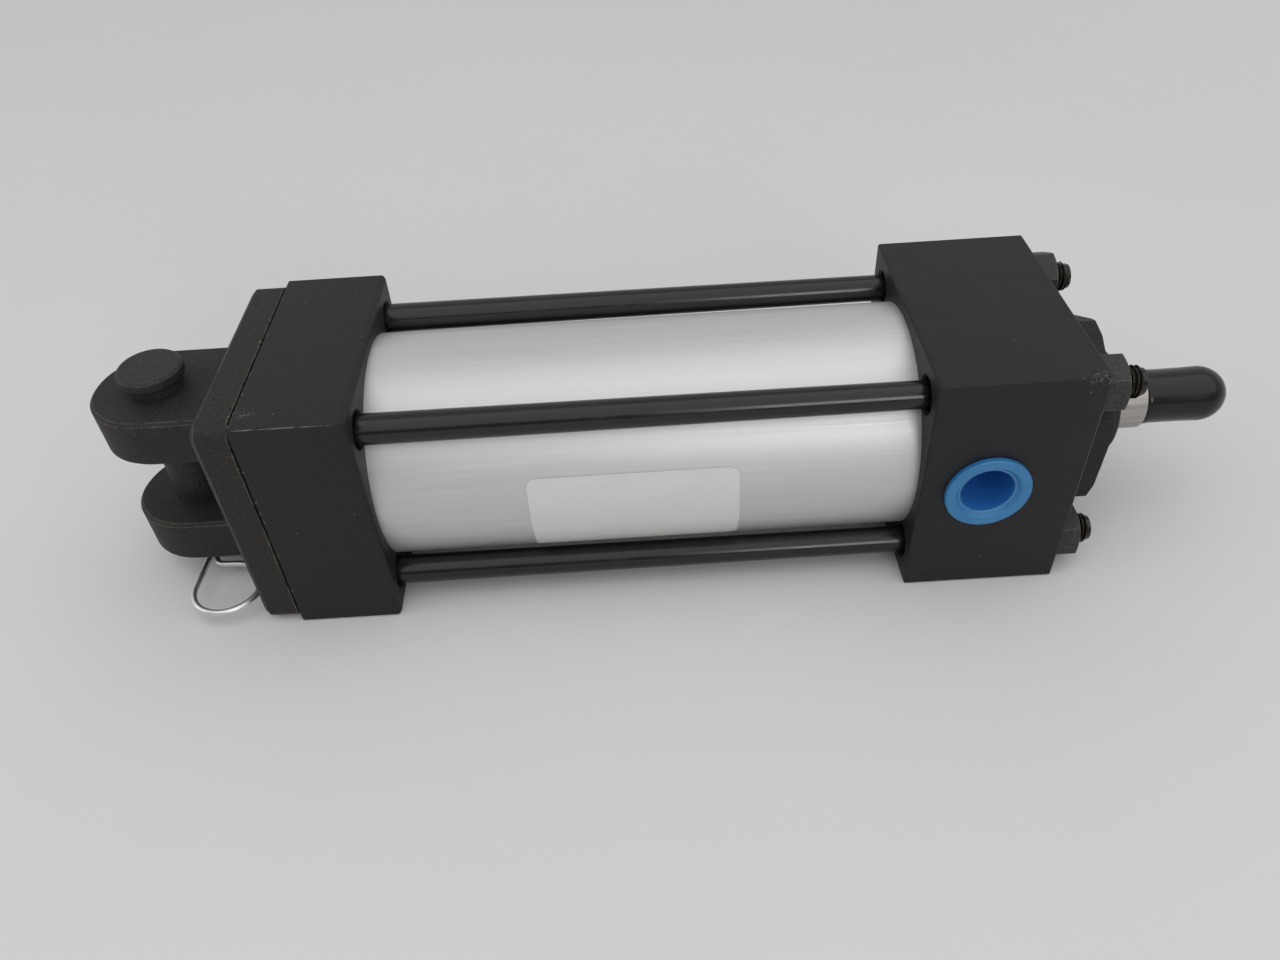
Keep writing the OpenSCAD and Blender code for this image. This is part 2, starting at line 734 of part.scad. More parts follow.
// Scraper: its lip points outwards and wipes the rod
module rod_wiper() {
    len = wiper_w - seal_gap;
    r_in = rod_d / 2 + run_gap;
    r_out = rod_groove_d / 2 - run_gap;
    body = len - wiper_lip_len;
    color("#1b1b1b") at_x(x_wiper + seal_gap) rotate_extrude()
        polygon([
            [r_in + wiper_relief, 0], [r_out, 0], [r_out, body], [r_in + wiper_wall, body],
            [r_in + wiper_lip, len], [r_in, len]
        ]);
}

// Push-in plug: a rim on the block's face and a hollow body down the port
module port_plug(x, side) {
    body_d = port_d - 2 * run_gap;
    hollow_d = body_d - 2 * plug_wall;
    color("#1f6fd0") translate([x, side * block_w / 2, 0]) rotate([-side * 90, 0, 0])
        difference() {
            union() {
                translate([0, 0, -plug_depth]) cylinder(d = body_d, h = plug_depth);
                cylinder(d = plug_rim_d, h = plug_rim_t - plug_bevel);
                translate([0, 0, plug_rim_t - plug_bevel])
                    cylinder(d1 = plug_rim_d, d2 = plug_rim_d - 2 * plug_bevel, h = plug_bevel);
            }
            translate([0, 0, plug_wall - plug_depth])
                cylinder(d = hollow_d, h = plug_depth + plug_rim_t);
            translate([0, 0, plug_rim_t - plug_flare])
                cylinder(d1 = hollow_d, d2 = 2 * plug_mouth_d - hollow_d, h = 2 * plug_flare);
        }
}

module head_port_plug() {
    port_plug(x_head_port, -1);
}

module cap_port_plug() {
    port_plug(x_cap_port, 1);
}

module rod_thread_cover() {
    color("#121214") difference() {
        union() {
            rod_x(x_cover, x_dome - x_cover, cover_d);
            translate([x_dome, 0, 0]) sphere(d = cover_d);
        }
        rod_x(x_cover - cut, x_dome - x_cover + cut, cover_bore_d);
        translate([x_dome, 0, 0]) sphere(d = cover_bore_d);
    }
}

rod_end_head();
rear_cap();
barrel_tube();
tie_rods();
tie_rod_nuts();
clevis_mount();
clevis_pin();
pin_clip();
piston();
piston_seals();
wear_band();
piston_rod();
piston_nut();
piston_o_ring();
rod_gland();
rod_bushing();
rod_seal();
rod_wiper();
gland_o_ring();
head_tube_seal();
cap_tube_seal();
head_port_plug();
cap_port_plug();
rod_thread_cover();
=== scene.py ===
"""Looks for a tie-rod air cylinder with a rear clevis. Metres; +X to the rod end, +Z up."""

import math

import bmesh
import bpy
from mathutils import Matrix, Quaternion, Vector


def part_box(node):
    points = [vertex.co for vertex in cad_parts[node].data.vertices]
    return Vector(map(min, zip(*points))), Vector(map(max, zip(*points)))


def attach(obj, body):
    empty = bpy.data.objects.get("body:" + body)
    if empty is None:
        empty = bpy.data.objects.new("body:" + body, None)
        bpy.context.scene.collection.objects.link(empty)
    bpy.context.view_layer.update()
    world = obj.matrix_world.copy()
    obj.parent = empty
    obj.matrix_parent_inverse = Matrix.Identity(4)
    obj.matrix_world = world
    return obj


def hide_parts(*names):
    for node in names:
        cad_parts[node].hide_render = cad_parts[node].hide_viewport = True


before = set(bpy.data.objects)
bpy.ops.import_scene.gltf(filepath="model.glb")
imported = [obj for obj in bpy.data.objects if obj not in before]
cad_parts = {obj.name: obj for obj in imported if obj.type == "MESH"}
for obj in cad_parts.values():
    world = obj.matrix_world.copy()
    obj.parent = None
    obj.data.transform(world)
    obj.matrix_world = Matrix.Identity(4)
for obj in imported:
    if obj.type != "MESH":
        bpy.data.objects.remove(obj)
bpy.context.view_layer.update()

MM = 0.001
WELD = 1e-7


# ---------------------------------------------------------------- places and sizes

HEAD_LOW, HEAD_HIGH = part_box("rod_end_head")
CAP_LOW, CAP_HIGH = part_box("rear_cap")
COVER_LOW, COVER_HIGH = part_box("rod_thread_cover")
FLANGE_SEAM_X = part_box("clevis_mount")[1].x
ROD_TIP_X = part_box("piston_rod")[1].x
NUT_FACE_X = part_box("tie_rod_nuts")[1].x

BLOCK_HALF = HEAD_HIGH.z
FLOOR_Z = HEAD_LOW.z
TUBE_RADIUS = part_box("barrel_tube")[1].z
STUD_RADIUS = 3.95 * MM
STUD_CREST, STUD_ROOT, STUD_PITCH = 3.91 * MM, 3.3 * MM, 1.058 * MM
TIE_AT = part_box("tie_rods")[1].z - STUD_RADIUS
ROD_CREST, ROD_ROOT, ROD_PITCH = 5.505 * MM, 4.8 * MM, 1.27 * MM
ROD_SHOULDER = COVER_LOW.x - 0.3 * MM

LABEL_FROM_X, LABEL_TO_X = 90.5 * MM, 141.5 * MM
LABEL_FROM_TURN, LABEL_TO_TURN = math.radians(162.5), math.radians(219)
LABEL_CORNER = 2.5 * MM
LABEL_THICKNESS, LABEL_SINK = 0.12 * MM, 0.02 * MM


# ---------------------------------------------------------------- node helpers

def add(tree, kind, inputs=None, **settings):
    """Adds a node, then fills or links the inputs that are given by name or by place."""
    made = tree.nodes.new(kind)
    for name, value in settings.items():
        setattr(made, name, value)
    for key, value in (inputs or {}).items():
        if isinstance(value, bpy.types.NodeSocket):
            tree.links.new(value, made.inputs[key])
        else:
            made.inputs[key].default_value = value
    return made


def math_node(tree, operation, a, b=0.0, clamp=False):
    return add(tree, "ShaderNodeMath", {0: a, 1: b}, operation=operation, use_clamp=clamp).outputs[0]


def remap(tree, value, low, high, to_low=0.0, to_high=1.0):
    made = add(tree, "ShaderNodeMapRange",
               {"Value": value, "From Min": low, "From Max": high,
                "To Min": to_low, "To Max": to_high})
    return made.outputs["Result"]


def combined(tree, x, y, z):
    return add(tree, "ShaderNodeCombineXYZ", {"X": x, "Y": y, "Z": z}).outputs[0]


def object_place(tree, stretch=(1, 1, 1)):
    """The place on the piece, stretched per axis to draw a pattern out."""
    place = add(tree, "ShaderNodeTexCoord").outputs["Object"]
    return add(tree, "ShaderNodeMapping", {"Vector": place, "Scale": stretch}).outputs["Vector"]


def place_along(tree, axis):
    """The place on the piece along one axis."""
    place = add(tree, "ShaderNodeTexCoord").outputs["Object"]
    return add(tree, "ShaderNodeSeparateXYZ", {"Vector": place}).outputs[axis]


def noise(tree, scale, detail, roughness=0.5, stretch=(1, 1, 1)):
    """Noise over the piece; the stretch draws it out where it is below 1."""
    made = add(tree, "ShaderNodeTexNoise",
               {"Vector": object_place(tree, stretch), "Scale": scale, "Detail": detail,
                "Roughness": roughness})
    return made.outputs["Fac"]


def new_group(name, inputs, outputs):
    """A shader node group with named float inputs, float outputs and, where asked for, a normal."""
    tree = bpy.data.node_groups.new(name, "ShaderNodeTree")
    for label, default in inputs.items():
        socket = tree.interface.new_socket(label, in_out="INPUT", socket_type="NodeSocketFloat")
        socket.default_value = default
    for label in outputs:
        kind = "NodeSocketVector" if label == "Normal" else "NodeSocketFloat"
        tree.interface.new_socket(label, in_out="OUTPUT", socket_type=kind)
    return tree, tree.nodes.new("NodeGroupInput").outputs, tree.nodes.new("NodeGroupOutput").inputs


def use_group(tree, group, **values):
    """Places a shared effect in a material, with its own values."""
    made = add(tree, "ShaderNodeGroup", node_tree=group)
    for label, value in values.items():
        made.inputs[label.replace("_", " ")].default_value = value
    return made.outputs


# ---------------------------------------------------------------- shared surface effects

def edge_wear_and_light_group():
    """Mask of sharp outer edges, broken up along their length, and the normal that rounds them off.
    Finishes use the mask for edge wear, for painted edge highlights and for painted edge shade.
    """
    sockets = {"Width": 0.4 * MM, "Patch Size": 300.0, "Amount": 1.0, "Broken": 0.5}
    tree, given, out = new_group("edge_wear_and_light", sockets, ["Mask", "Normal"])
    rounded = add(tree, "ShaderNodeBevel", {"Radius": given["Width"]}, samples=6)
    facing = add(tree, "ShaderNodeNewGeometry").outputs["Normal"]
    turned = add(tree, "ShaderNodeVectorMath", {0: rounded.outputs[0], 1: facing},
                 operation="DOT_PRODUCT")
    still_flat, full_edge, fade = 0.992, 0.9, 0.18
    edge = remap(tree, turned.outputs["Value"], still_flat, full_edge)
    patches = noise(tree, given["Patch Size"], 4.0, 0.65)
    broken = remap(tree, patches, given["Broken"], math_node(tree, "ADD", given["Broken"], fade))
    worn = math_node(tree, "MULTIPLY", edge, broken)
    tree.links.new(math_node(tree, "MULTIPLY", worn, given["Amount"], clamp=True), out["Mask"])
    tree.links.new(rounded.outputs[0], out["Normal"])
    return tree


def grain_group():
    """Fine even grain for bead-blasted, oxidised and moulded skins."""
    sockets = {"Grain Size": 2500.0, "Cloud Size": 60.0}
    tree, given, out = new_group("fine_grain", sockets, ["Grain", "Clouds"])
    tree.links.new(noise(tree, given["Grain Size"], 3.0, 0.6), out["Grain"])
    tree.links.new(noise(tree, given["Cloud Size"], 5.0, 0.6), out["Clouds"])
    return tree


def drawn_lines_group():
    """Fine lines along X, as drawing or grinding leaves them, in two widths."""
    tree, given, out = new_group("drawn_lines", {"Line Density": 2600.0}, ["Lines", "Bands"])
    band_share = 0.12
    band_density = math_node(tree, "MULTIPLY", given["Line Density"], band_share)
    fine = noise(tree, given["Line Density"], 4.0, 0.65, stretch=(0.012, 1, 1))
    bands = noise(tree, band_density, 3.0, stretch=(0.02, 1, 1))
    tree.links.new(fine, out["Lines"])
    tree.links.new(bands, out["Bands"])
    return tree


def specks_group():
    """Mask of sparse small specks of dust and chipped finish."""
    tree, given, out = new_group("specks", {"Spacing": 220.0, "Size": 0.16, "Share": 0.12}, ["Mask"])
    cells = add(tree, "ShaderNodeTexVoronoi", {"Vector": object_place(tree), "Scale": given["Spacing"]})
    inside = math_node(tree, "LESS_THAN", cells.outputs["Distance"], given["Size"])
    pick = add(tree, "ShaderNodeSeparateColor", {"Color": cells.outputs["Color"]})
    chosen = math_node(tree, "LESS_THAN", pick.outputs["Red"], given["Share"])
    tree.links.new(math_node(tree, "MULTIPLY", inside, chosen), out["Mask"])
    return tree


def rubbed_edge_group():
    """Mask of a bright rubbed line on the upper front edge, between two places along X."""
    sockets = {"From X": 0.0, "To X": 0.1, "Edge": 0.03, "Width": 0.4 * MM}
    tree, given, out = new_group("rubbed_edge", sockets, ["Mask"])
    at = add(tree, "ShaderNodeSeparateXYZ", {"Vector": object_place(tree)}).outputs
    streaks = noise(tree, 420.0, 3.0)
    front = math_node(tree, "ADD", at["Y"], given["Edge"])
    top = math_node(tree, "SUBTRACT", at["Z"], given["Edge"])
    squares = math_node(tree, "ADD", math_node(tree, "MULTIPLY", front, front),
                        math_node(tree, "MULTIPLY", top, top))
    away = math_node(tree, "SQRT", squares)
    reach = math_node(tree, "MULTIPLY", given["Width"], remap(tree, streaks, 0.4, 0.62, 0.0, 1.0))
    near = math_node(tree, "LESS_THAN", away, reach)
    after = math_node(tree, "GREATER_THAN", at["X"], given["From X"])
    before = math_node(tree, "LESS_THAN", at["X"], given["To X"])
    along = math_node(tree, "MULTIPLY", after, before)
    tree.links.new(math_node(tree, "MULTIPLY", near, along), out["Mask"])
    return tree


def scuffs_group():
    """Mask of short scratches round a knocked corner, drawn out along the edge."""
    sockets = {"At X": 0.0, "At Y": 0.0, "At Z": 0.0, "Reach": 4 * MM}
    tree, given, out = new_group("scuffs", sockets, ["Mask"])
    drawn_out = 2.6
    corner = combined(tree, given["At X"], given["At Y"], given["At Z"])
    apart = add(tree, "ShaderNodeVectorMath", {0: object_place(tree), 1: corner},
                operation="SUBTRACT").outputs["Vector"]
    drawn = add(tree, "ShaderNodeVectorMath", {0: apart, 1: (1.0, drawn_out, drawn_out)},
                operation="MULTIPLY").outputs["Vector"]
    away = add(tree, "ShaderNodeVectorMath", {0: drawn}, operation="LENGTH").outputs["Value"]
    near = math_node(tree, "SUBTRACT", 1.0, math_node(tree, "DIVIDE", away, given["Reach"]), clamp=True)
    cut = remap(tree, noise(tree, 1500.0, 3.0, 0.7, stretch=(1, 1.6, 0.5)), 0.56, 0.66)
    tree.links.new(math_node(tree, "MULTIPLY", cut, remap(tree, near, 0.05, 0.5)), out["Mask"])
    return tree


EDGE_WEAR_AND_LIGHT = edge_wear_and_light_group()
SCUFFS = scuffs_group()
RUBBED_EDGE = rubbed_edge_group()
GRAIN = grain_group()
DRAWN_LINES = drawn_lines_group()
SPECKS = specks_group()


# ---------------------------------------------------------------- materials

def new_material(name, **constants):
    """A Principled material. Constants are set on the shader's own sockets."""
    material = bpy.data.materials.new(name)
    material.use_nodes = True
    tree = material.node_tree
    shader = tree.nodes["Principled BSDF"]
    for label, value in constants.items():
        shader.inputs[label.replace("_", " ")].default_value = value
    return material, tree, shader.inputs


def mix_colour(tree, factor, first, second):
    """Mixes two colours. Input 0 is the node's factor, 6 and 7 are its colours."""
    made = add(tree, "ShaderNodeMix", data_type="RGBA")
    for place, value in ((0, factor), (6, first), (7, second)):
        if isinstance(value, bpy.types.NodeSocket):
            tree.links.new(value, made.inputs[place])
        elif place:
            made.inputs[place].default_value = (*value, 1)
        else:
            made.inputs[place].default_value = value
    return made.outputs[2]


def seam_dust(tree, at_x):
    """Mask of brown dust and chips caught along a seam."""
    off = math_node(tree, "ABSOLUTE", math_node(tree, "SUBTRACT", place_along(tree, "X"), at_x))
    near = math_node(tree, "LESS_THAN", off, 1.1 * MM)
    dots = use_group(tree, SPECKS, Spacing=950, Size=0.32, Share=0.2)
    return math_node(tree, "MULTIPLY", near, dots["Mask"])


def bump(tree, shader, height, strength, depth, base=None):
    """Fine relief, on top of the rounded normal where one is given."""
    made = add(tree, "ShaderNodeBump", {"Height": height, "Strength": strength, "Distance": depth})
    if base is not None:
        tree.links.new(base, made.inputs["Normal"])
    tree.links.new(made.outputs["Normal"], shader["Normal"])


def black_anodised():
    """Blasted black blocks: fine grain, a rubbed front edge, knocked corners and a dusty seam."""
    material, tree, shader = new_material("black_anodised", IOR=1.38)
    grain = use_group(tree, GRAIN, Grain_Size=1700, Cloud_Size=75)
    wear = use_group(tree, EDGE_WEAR_AND_LIGHT, Width=0.28 * MM, Patch_Size=420, Amount=0.15, Broken=0.55)
    rubbed = use_group(tree, RUBBED_EDGE, From_X=CAP_LOW.x + 1.4 * MM, To_X=CAP_HIGH.x - 3 * MM,
                       Edge=BLOCK_HALF - 0.25 * MM, Width=0.17 * MM)
    head_knock = use_group(tree, SCUFFS, At_X=HEAD_HIGH.x - 1 * MM, At_Y=-BLOCK_HALF,
                           At_Z=BLOCK_HALF, Reach=7.5 * MM)
    cap_knock = use_group(tree, SCUFFS, At_X=CAP_LOW.x + 1.2 * MM, At_Y=6 * MM - BLOCK_HALF,
                          At_Z=BLOCK_HALF, Reach=6 * MM)
    specks = use_group(tree, SPECKS, Spacing=400, Size=0.07, Share=0.1)
    skin = mix_colour(tree, remap(tree, grain["Clouds"], 0.3, 0.7),
                      (0.0056, 0.0056, 0.0068), (0.0096, 0.0096, 0.0112))
    fine = mix_colour(tree, remap(tree, grain["Grain"], 0.4, 0.7, 0, 0.75),
                      skin, (0.0185, 0.0185, 0.0205))
    worn = mix_colour(tree, wear["Mask"], fine, (0.12, 0.12, 0.12))
    bare = mix_colour(tree, rubbed["Mask"], worn, (0.1, 0.1, 0.098))
    scuff_share = 0.85
    knocked = math_node(tree, "MULTIPLY", scuff_share,
                        math_node(tree, "MAXIMUM", head_knock["Mask"], cap_knock["Mask"]))
    scuffed = mix_colour(tree, knocked, bare, (0.2, 0.195, 0.18))
    dusty = mix_colour(tree, specks["Mask"], scuffed, (0.13, 0.125, 0.12))
    chipped = mix_colour(tree, seam_dust(tree, CAP_LOW.x), dusty, (0.1, 0.085, 0.065))
    tree.links.new(chipped, shader["Base Color"])
    tree.links.new(remap(tree, grain["Clouds"], 0.3, 0.7, 0.46, 0.58), shader["Roughness"])
    bump(tree, shader, grain["Grain"], 0.3, 0.06 * MM, wear["Normal"])
    return material


def black_oxide(name="black_oxide", base=(0.0082, 0.0075, 0.0066), light=(0.0175, 0.0158, 0.0136),
                rough=(0.54, 0.72), wear_and_highlight_amount=0.85, broken=0.37, width=0.5 * MM):
    """Blackened steel: a brownish grain, and grey along its edges that is partly worn-back steel and
    partly a painted edge highlight.
    """
    material, tree, shader = new_material(name, IOR=1.4)
    grain = use_group(tree, GRAIN, Grain_Size=1500, Cloud_Size=120)
    wear = use_group(tree, EDGE_WEAR_AND_LIGHT, Width=width, Patch_Size=340, Amount=wear_and_highlight_amount, Broken=broken)
    skin = mix_colour(tree, remap(tree, grain["Clouds"], 0.35, 0.7), base, light)
    glint = tuple(2.2 * c for c in light)
    fine = mix_colour(tree, remap(tree, grain["Grain"], 0.42, 0.72, 0, 0.6), skin, glint)
    flecks = use_group(tree, EDGE_WEAR_AND_LIGHT, Width=width, Patch_Size=1600, Amount=0.9, Broken=0.55)
    # Grey along the edges: partly worn-back steel, partly a painted highlight for the light the rounded
    # edges catch.
    worn = mix_colour(tree, wear["Mask"], fine, (0.15, 0.137, 0.12))
    chipped = mix_colour(tree, flecks["Mask"], worn, (0.3, 0.26, 0.19))
    dusty = mix_colour(tree, seam_dust(tree, FLANGE_SEAM_X), chipped, (0.12, 0.1, 0.075))
    tree.links.new(dusty, shader["Base Color"])
    tree.links.new(remap(tree, grain["Clouds"], 0.3, 0.7, *rough), shader["Roughness"])
    bump(tree, shader, grain["Grain"], 0.28, 0.06 * MM, wear["Normal"])
    return material


def oiled_black_steel():
    """Tie rods: smoother black oxide that takes a streak of light. The thread crests are painted light
    brown, partly as wear and partly as a painted highlight.
    """
    material, tree, shader = new_material("oiled_black_steel", IOR=1.5)
    lines = use_group(tree, DRAWN_LINES, Line_Density=2400)
    grain = use_group(tree, GRAIN, Grain_Size=1500, Cloud_Size=160)
    wear = use_group(tree, EDGE_WEAR_AND_LIGHT, Width=0.16 * MM, Patch_Size=900, Amount=0.9, Broken=0.36)
    skin = mix_colour(tree, remap(tree, grain["Clouds"], 0.35, 0.7),
                      (0.0018, 0.0016, 0.0016), (0.0052, 0.0046, 0.0042))
    streaked = mix_colour(tree, remap(tree, lines["Bands"], 0.5, 0.75, 0, 0.5),
                          skin, (0.024, 0.019, 0.016))
    # Light brown on the edges lands mostly on the stud thread crests: partly wear, partly a painted crest
    # highlight.
    worn = mix_colour(tree, wear["Mask"], streaked, (0.22, 0.17, 0.12))
    tree.links.new(worn, shader["Base Color"])
    tree.links.new(remap(tree, grain["Clouds"], 0.3, 0.7, 0.13, 0.26), shader["Roughness"])
    bump(tree, shader, lines["Lines"], 0.1, 0.03 * MM)
    return material


def clear_anodised():
    """Drawn aluminium under a clear anodised skin: satin, with fine lines along its length."""
    material, tree, shader = new_material("clear_anodised", Metallic=1.0)
    lines = use_group(tree, DRAWN_LINES, Line_Density=2600)
    fine = mix_colour(tree, remap(tree, lines["Lines"], 0.3, 0.7),
                      (0.62, 0.616, 0.611), (0.7, 0.696, 0.687))
    banded = mix_colour(tree, remap(tree, lines["Bands"], 0.35, 0.65, 0, 0.22),
                        fine, (0.74, 0.736, 0.731))
    tree.links.new(banded, shader["Base Color"])
    tree.links.new(remap(tree, lines["Lines"], 0.3, 0.7, 0.48, 0.58), shader["Roughness"])
    bump(tree, shader, lines["Lines"], 0.12, 0.04 * MM)
    return material


def ground_rod_steel():
    """Bright ground steel with fine lines along its length."""
    material, tree, shader = new_material("ground_rod_steel", Metallic=1.0)
    lines = use_group(tree, DRAWN_LINES, Line_Density=3200)
    colour = mix_colour(tree, remap(tree, lines["Bands"], 0.35, 0.65),
                        (0.36, 0.34, 0.32), (0.5, 0.48, 0.455))
    tree.links.new(colour, shader["Base Color"])
    tree.links.new(remap(tree, lines["Lines"], 0.3, 0.7, 0.22, 0.34), shader["Roughness"])
    bump(tree, shader, lines["Lines"], 0.1, 0.02 * MM)
    return material


def machined_metal(name, dark, light, rough=(0.26, 0.38)):
    """Turned or drawn bright metal: fine rings of tool marks across its length."""
    material, tree, shader = new_material(name, Metallic=1.0)
    rings = add(tree, "ShaderNodeTexWave",
                {"Vector": object_place(tree), "Scale": 900.0, "Distortion": 1.2},
                wave_type="BANDS", bands_direction="X")
    grain = use_group(tree, GRAIN, Grain_Size=1200, Cloud_Size=120)
    colour = mix_colour(tree, remap(tree, grain["Clouds"], 0.3, 0.7), dark, light)
    tree.links.new(colour, shader["Base Color"])
    tree.links.new(remap(tree, rings.outputs["Fac"], 0, 1, *rough), shader["Roughness"])
    bump(tree, shader, rings.outputs["Fac"], 0.15, 0.03 * MM)
    return material


def moulded(name, dark, light, rough, grain_size=1400, depth=0.04 * MM, **constants):
    """Moulded rubber or plastic with a fine even skin."""
    material, tree, shader = new_material(name, **constants)
    grain = use_group(tree, GRAIN, Grain_Size=grain_size, Cloud_Size=110)
    colour = mix_colour(tree, remap(tree, grain["Clouds"], 0.3, 0.7), dark, light)
    tree.links.new(colour, shader["Base Color"])
    tree.links.new(remap(tree, grain["Grain"], 0.3, 0.7, *rough), shader["Roughness"])
    bump(tree, shader, grain["Grain"], 0.2, depth)
    return material


def blue_plastic():
    """Blue plastic with painted light: the rim outside the block is painted paler, as if lit, the lips
    carry a paler painted highlight, and the part inside the block is painted a deeper, more saturated
    blue as the shade of the hollow.
    """
    material, tree, shader = new_material("plug_blue", IOR=1.5)
    grain = use_group(tree, GRAIN, Grain_Size=1400, Cloud_Size=110)
    lip_rounding_and_highlight = use_group(tree, EDGE_WEAR_AND_LIGHT, Width=0.3 * MM, Patch_Size=500, Amount=0.75, Broken=0.2)
    # Outside the block face the plug is painted paler, as if lit. Inside the block it is painted a
    # deeper, more saturated blue, as the shade of the hollow.
    across = math_node(tree, "ABSOLUTE", place_along(tree, "Y"))
    outer = remap(tree, across, BLOCK_HALF, BLOCK_HALF + 0.6 * MM)
    clouds = remap(tree, grain["Clouds"], 0.3, 0.7)
    hollow = mix_colour(tree, clouds, (0.02, 0.15, 0.45), (0.027, 0.18, 0.52))
    rim = mix_colour(tree, clouds, (0.025, 0.165, 0.375), (0.034, 0.195, 0.425))
    skin = mix_colour(tree, outer, hollow, rim)
    # Paler lip edges: a painted highlight on the fine lips.
    colour = mix_colour(tree, lip_rounding_and_highlight["Mask"], skin, (0.2, 0.4, 0.56))
    tree.links.new(colour, shader["Base Color"])
    tree.links.new(remap(tree, grain["Grain"], 0.3, 0.7, 0.36, 0.48), shader["Roughness"])
    bump(tree, shader, grain["Grain"], 0.2, 0.04 * MM, lip_rounding_and_highlight["Normal"])
    return material


def label_paper():
    """White label stock, painted grey along its cut edge as a thin painted edge shadow."""
    material, tree, shader = new_material("label_paper", IOR=1.45, Coat_Weight=0.15, Coat_Roughness=0.3)
    grain = use_group(tree, GRAIN, Grain_Size=3000, Cloud_Size=140)
    rim = use_group(tree, EDGE_WEAR_AND_LIGHT, Width=0.3 * MM, Patch_Size=900, Amount=0.8, Broken=0.1)
    paper = mix_colour(tree, remap(tree, grain["Clouds"], 0.3, 0.7),
                       (0.625, 0.625, 0.615), (0.65, 0.65, 0.645))
    # Grey border along the cut edge: painted shadow of the label's thin edge.
    colour = mix_colour(tree, rim["Mask"], paper, (0.3, 0.3, 0.295))
    tree.links.new(colour, shader["Base Color"])
    tree.links.new(remap(tree, grain["Grain"], 0.3, 0.7, 0.38, 0.48), shader["Roughness"])
    bump(tree, shader, grain["Grain"], 0.08, 0.02 * MM)
    return material


ANODISED_BLACK = black_anodised()
FLANGE_BLACK = black_oxide()
GLAND_BLACK = black_oxide("gland_black", (0.0068, 0.0068, 0.0074), (0.0125, 0.0125, 0.013), (0.56, 0.7),
                          wear_and_highlight_amount=0.2, broken=0.55)
# The pin's rim and the nuts' edges get strong grey edge lines: partly wear, partly painted edge
# highlights.
PIN_BLACK = black_oxide("pin_black", (0.0125, 0.0118, 0.011), (0.024, 0.0225, 0.0205), (0.5, 0.68),
                        wear_and_highlight_amount=0.85, broken=0.47, width=0.35 * MM)
NUT_BLACK = black_oxide("nut_black", (0.0155, 0.0148, 0.014), (0.033, 0.0315, 0.0295), (0.42, 0.62),
                        wear_and_highlight_amount=1.0, broken=0.24, width=0.35 * MM)
ROD_BLACK = oiled_black_steel()
TUBE_SILVER = clear_anodised()
ROD_STEEL = ground_rod_steel()
PISTON_ALLOY = machined_metal("piston_alloy", (0.56, 0.56, 0.56), (0.7, 0.7, 0.7))
NUT_STEEL = machined_metal("nut_steel", (0.28, 0.27, 0.26), (0.38, 0.37, 0.35))
BRONZE = machined_metal("sintered_bronze", (0.4, 0.26, 0.12), (0.55, 0.37, 0.18))
SEAL_RUBBER = moulded("seal_rubber", (0.012, 0.012, 0.012), (0.022, 0.022, 0.022), (0.5, 0.66))
BAND_PLASTIC = moulded("band_plastic", (0.2, 0.1, 0.05), (0.29, 0.15, 0.075), (0.45, 0.6))
COVER_VINYL = moulded("black_vinyl", (0.0022, 0.0026, 0.0032), (0.0046, 0.0052, 0.0062), (0.19, 0.26),
                      grain_size=500, depth=0.02 * MM, IOR=1.44)
PLUG_BLUE = blue_plastic()
CLIP_ZINC = machined_metal("bright_zinc", (0.66, 0.67, 0.66), (0.86, 0.87, 0.86), (0.3, 0.44))
LABEL_WHITE = label_paper()


# ---------------------------------------------------------------- mesh helpers

# Edges that turn by more degrees than these are kept crisp.
CAD_CREASE, DRAWN_CREASE, LABEL_CREASE = 28, 35, 30


def put(name, mesh, material, body, stands_for=()):
    """Makes a finished piece that moves with a body and may stand for CAD nodes."""
    piece = bpy.data.objects.new(name, mesh)
    bpy.context.scene.collection.objects.link(piece)
    mesh.materials.clear()
    mesh.materials.append(material)
    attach(piece, body)
    if stands_for:
        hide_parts(*stands_for)


def smooth_by_angle(mesh, degrees):
    """Smooth shading, with edges sharper than the angle kept crisp."""
    work = bmesh.new()
    work.from_mesh(mesh)
    for face in work.faces:
        face.smooth = True
    for edge in work.edges:
        edge.smooth = len(edge.link_faces) == 2 and edge.calc_face_angle(0) < math.radians(degrees)
    work.to_mesh(mesh)
    work.free()


def merged_copy(node):
    """A copy of a CAD node's mesh with its loose triangles joined."""
    work = bmesh.new()
    work.from_mesh(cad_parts[node].data)
    bmesh.ops.remove_doubles(work, verts=work.verts, dist=WELD)
    mesh = bpy.data.meshes.new(node + "_copy")
    work.to_mesh(mesh)
    work.free()
    return mesh


def finished_copy(name, node, material, body):
    """A smooth-shaded copy of a CAD node, in its finish."""
    mesh = merged_copy(node)
    smooth_by_angle(mesh, CAD_CREASE)
    put(name, mesh, material, body, [node])


def revolve(name, profile, centre, axis, steps=96):
    """Turns a closed (along, radius) profile about an axis through a centre."""
    work = bmesh.new()
    along = Vector(axis)
    side = along.orthogonal().normalized()
    ring = [work.verts.new(Vector(centre) + along * a + side * r) for a, r in profile]
    edges = [work.edges.new((ring[i], ring[(i + 1) % len(ring)])) for i in range(len(ring))]
    bmesh.ops.spin(work, geom=ring + edges, cent=centre, axis=along, angle=2 * math.pi, steps=steps,
                   use_merge=True)
    bmesh.ops.remove_doubles(work, verts=work.verts, dist=WELD)
    bmesh.ops.recalc_face_normals(work, faces=work.faces)
    mesh = bpy.data.meshes.new(name)
    work.to_mesh(mesh)
    work.free()
    smooth_by_angle(mesh, DRAWN_CREASE)
    return mesh


def arc(centre, radius, start, end, steps=8):
    """Points on an arc, in degrees, for profiles."""
    turns = [math.radians(start + (end - start) * i / steps) for i in range(steps + 1)]
    return [(centre[0] + radius * math.cos(t), centre[1] + radius * math.sin(t)) for t in turns]


# ---------------------------------------------------------------- pieces

